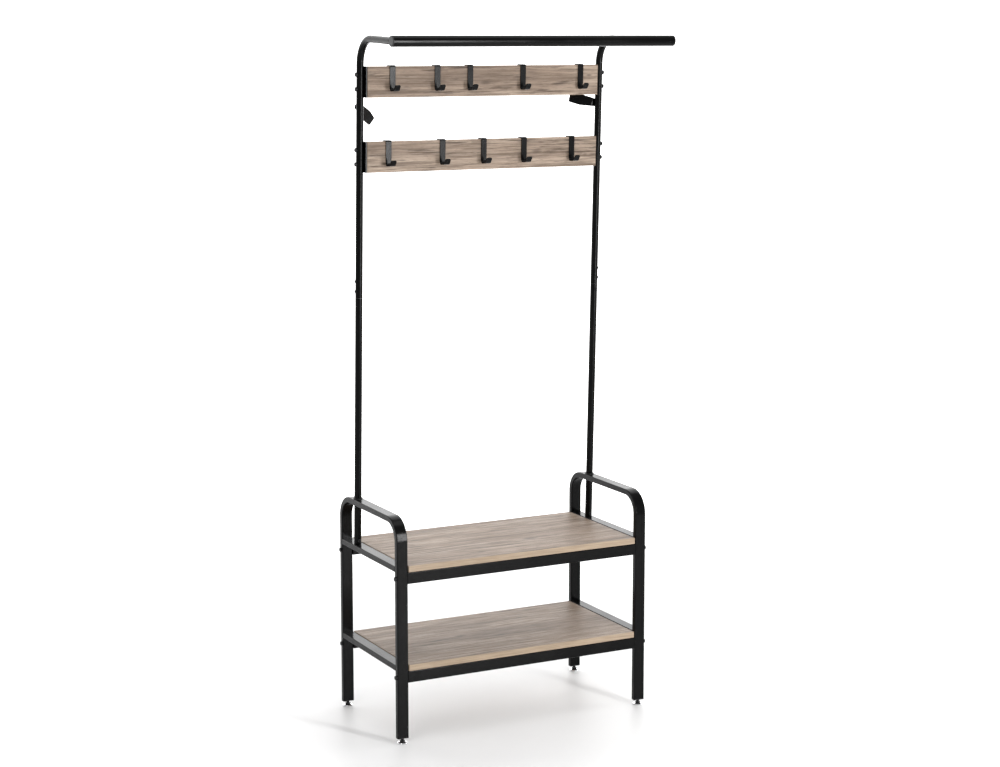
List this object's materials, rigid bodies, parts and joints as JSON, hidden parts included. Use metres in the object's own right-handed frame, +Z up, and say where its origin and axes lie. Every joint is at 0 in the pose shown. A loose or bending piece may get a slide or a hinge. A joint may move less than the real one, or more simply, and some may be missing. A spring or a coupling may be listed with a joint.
{
  "type": "hall tree with hooks",
  "caption": "Steel-tube hall tree: a bench with seat and shoe shelf, two uprights with hook boards, and a forward clothes bar.",
  "frame": {"origin": "bottom centre of the whole object's box, on the floor", "axes": "+Z up; +X along the bench towards the bar's long overhang; -Y is the front, where the legs of the bench and the bar stand forward"},
  "size_m": [0.8094, 0.371, 1.7674],
  "materials": {
    "black_powder_coat": "satin black powder coat",
    "hook_black": "satin black powder coat, a little glossier",
    "black_oxide": "black oxide",
    "oak_laminate": "greyish oak laminate, matt",
    "foot_chrome": "polished",
    "zinc_steel": "zinc plated",
    "black_plastic": "matt black"
  },
  "bodies": {
    "frame": {"side_frame_left": "black_powder_coat", "seat_side_rail_left": "black_powder_coat", "shelf_side_rail_left": "black_powder_coat", "lower_tube_left": "black_powder_coat", "upper_tube_left": "black_powder_coat", "board_bracket_upper_left": "black_powder_coat", "board_bracket_lower_left": "black_powder_coat", "side_frame_right": "black_powder_coat", "seat_side_rail_right": "black_powder_coat", "shelf_side_rail_right": "black_powder_coat", "lower_tube_right": "black_powder_coat", "upper_tube_right": "black_powder_coat", "board_bracket_upper_right": "black_powder_coat", "board_bracket_lower_right": "black_powder_coat", "seat_front_rail": "black_powder_coat", "seat_back_rail": "black_powder_coat", "seat_board": "oak_laminate", "shelf_front_rail": "black_powder_coat", "shelf_back_rail": "black_powder_coat", "shelf_board": "oak_laminate", "hook_board_upper": "oak_laminate", "hook_board_lower": "oak_laminate", "frame_bolts": "black_oxide", "rail_weld_nuts": "zinc_steel", "board_fixing_screws": "zinc_steel", "leg_plugs": "black_plastic", "tube_sleeves": "zinc_steel", "sleeve_screws": "black_oxide", "upright_spigots": "zinc_steel", "upright_base_screws": "black_oxide", "arm_grommets": "black_plastic", "board_bolts": "black_oxide", "bracket_screws": "zinc_steel", "hanging_bar": "black_powder_coat", "bar_end_caps": "black_plastic", "bar_sockets": "zinc_steel", "bar_screws": "zinc_steel", "wall_strap_screws": "black_oxide"},
    "wall_strap_left": {"wall_strap_left": "black_powder_coat"},
    "wall_strap_right": {"wall_strap_right": "black_powder_coat"},
    "foot_pad_front_left": {"foot_pad_front_left": "foot_chrome"},
    "foot_stud_front_left": {"foot_stud_front_left": "black_oxide"},
    "foot_pad_back_left": {"foot_pad_back_left": "foot_chrome"},
    "foot_stud_back_left": {"foot_stud_back_left": "black_oxide"},
    "foot_pad_front_right": {"foot_pad_front_right": "foot_chrome"},
    "foot_stud_front_right": {"foot_stud_front_right": "black_oxide"},
    "foot_pad_back_right": {"foot_pad_back_right": "foot_chrome"},
    "foot_stud_back_right": {"foot_stud_back_right": "black_oxide"},
    "hook_upper_1": {"hook_upper_1": "hook_black"},
    "hook_upper_2": {"hook_upper_2": "hook_black"},
    "hook_upper_3": {"hook_upper_3": "hook_black"},
    "hook_upper_4": {"hook_upper_4": "hook_black"},
    "hook_upper_5": {"hook_upper_5": "hook_black"},
    "hook_lower_1": {"hook_lower_1": "hook_black"},
    "hook_lower_2": {"hook_lower_2": "hook_black"},
    "hook_lower_3": {"hook_lower_3": "hook_black"},
    "hook_lower_4": {"hook_lower_4": "hook_black"},
    "hook_lower_5": {"hook_lower_5": "hook_black"}
  },
  "joints": [
    {"name": "foot_height_front_left", "type": "slide", "parent": "frame", "child": "foot_pad_front_left", "axis": [0, 0, 1], "range_m": [-0.01, 0.0055]},
    {"name": "foot_screw_front_left", "type": "hinge", "parent": "foot_pad_front_left", "child": "foot_stud_front_left", "pos_m": [-0.38575, -0.1725, 0], "axis": [0, 0, 1], "range_deg": [-2885, 1590]},
    {"name": "foot_height_back_left", "type": "slide", "parent": "frame", "child": "foot_pad_back_left", "axis": [0, 0, 1], "range_m": [-0.01, 0.0055]},
    {"name": "foot_screw_back_left", "type": "hinge", "parent": "foot_pad_back_left", "child": "foot_stud_back_left", "pos_m": [-0.38575, 0.1725, 0], "axis": [0, 0, 1], "range_deg": [-2885, 1590]},
    {"name": "foot_height_front_right", "type": "slide", "parent": "frame", "child": "foot_pad_front_right", "axis": [0, 0, 1], "range_m": [-0.01, 0.0055]},
    {"name": "foot_screw_front_right", "type": "hinge", "parent": "foot_pad_front_right", "child": "foot_stud_front_right", "pos_m": [0.30425, -0.1725, 0], "axis": [0, 0, 1], "range_deg": [-2885, 1590]},
    {"name": "foot_height_back_right", "type": "slide", "parent": "frame", "child": "foot_pad_back_right", "axis": [0, 0, 1], "range_m": [-0.01, 0.0055]},
    {"name": "foot_screw_back_right", "type": "hinge", "parent": "foot_pad_back_right", "child": "foot_stud_back_right", "pos_m": [0.30425, 0.1725, 0], "axis": [0, 0, 1], "range_deg": [-2885, 1590]},
    {"name": "hook_upper_1_slide", "type": "slide", "parent": "frame", "child": "hook_upper_1", "axis": [1, 0, 0], "range_m": [-0.03, 0.053]},
    {"name": "hook_upper_2_slide", "type": "slide", "parent": "frame", "child": "hook_upper_2", "axis": [1, 0, 0], "range_m": [-0.053, 0.037]},
    {"name": "hook_upper_3_slide", "type": "slide", "parent": "frame", "child": "hook_upper_3", "axis": [1, 0, 0], "range_m": [-0.037, 0.066]},
    {"name": "hook_upper_4_slide", "type": "slide", "parent": "frame", "child": "hook_upper_4", "axis": [1, 0, 0], "range_m": [-0.066, 0.075]},
    {"name": "hook_upper_5_slide", "type": "slide", "parent": "frame", "child": "hook_upper_5", "axis": [1, 0, 0], "range_m": [-0.075, 0.015]},
    {"name": "hook_lower_1_slide", "type": "slide", "parent": "frame", "child": "hook_lower_1", "axis": [1, 0, 0], "range_m": [-0.02, 0.066]},
    {"name": "hook_lower_2_slide", "type": "slide", "parent": "frame", "child": "hook_lower_2", "axis": [1, 0, 0], "range_m": [-0.066, 0.049]},
    {"name": "hook_lower_3_slide", "type": "slide", "parent": "frame", "child": "hook_lower_3", "axis": [1, 0, 0], "range_m": [-0.049, 0.049]},
    {"name": "hook_lower_4_slide", "type": "slide", "parent": "frame", "child": "hook_lower_4", "axis": [1, 0, 0], "range_m": [-0.049, 0.061]},
    {"name": "hook_lower_5_slide", "type": "slide", "parent": "frame", "child": "hook_lower_5", "axis": [1, 0, 0], "range_m": [-0.061, 0.037]},
    {"name": "strap_left_swivel", "type": "hinge", "parent": "frame", "child": "wall_strap_left", "pos_m": [-0.38575, 0.06702, 1.58864], "axis": [0, 0.9994, 0.0349], "range_deg": [-128, 52]},
    {"name": "strap_right_swivel", "type": "hinge", "parent": "frame", "child": "wall_strap_right", "pos_m": [0.30425, 0.06702, 1.58864], "axis": [0, 0.9994, 0.0349], "range_deg": [-102, 78]}
  ],
  "couplings": [
    {"joint": "foot_screw_front_left", "follows": "foot_height_front_left", "rad_per_m": 5026.5},
    {"joint": "foot_screw_back_left", "follows": "foot_height_back_left", "rad_per_m": 5026.5},
    {"joint": "foot_screw_front_right", "follows": "foot_height_front_right", "rad_per_m": 5026.5},
    {"joint": "foot_screw_back_right", "follows": "foot_height_back_right", "rad_per_m": 5026.5}
  ]
}
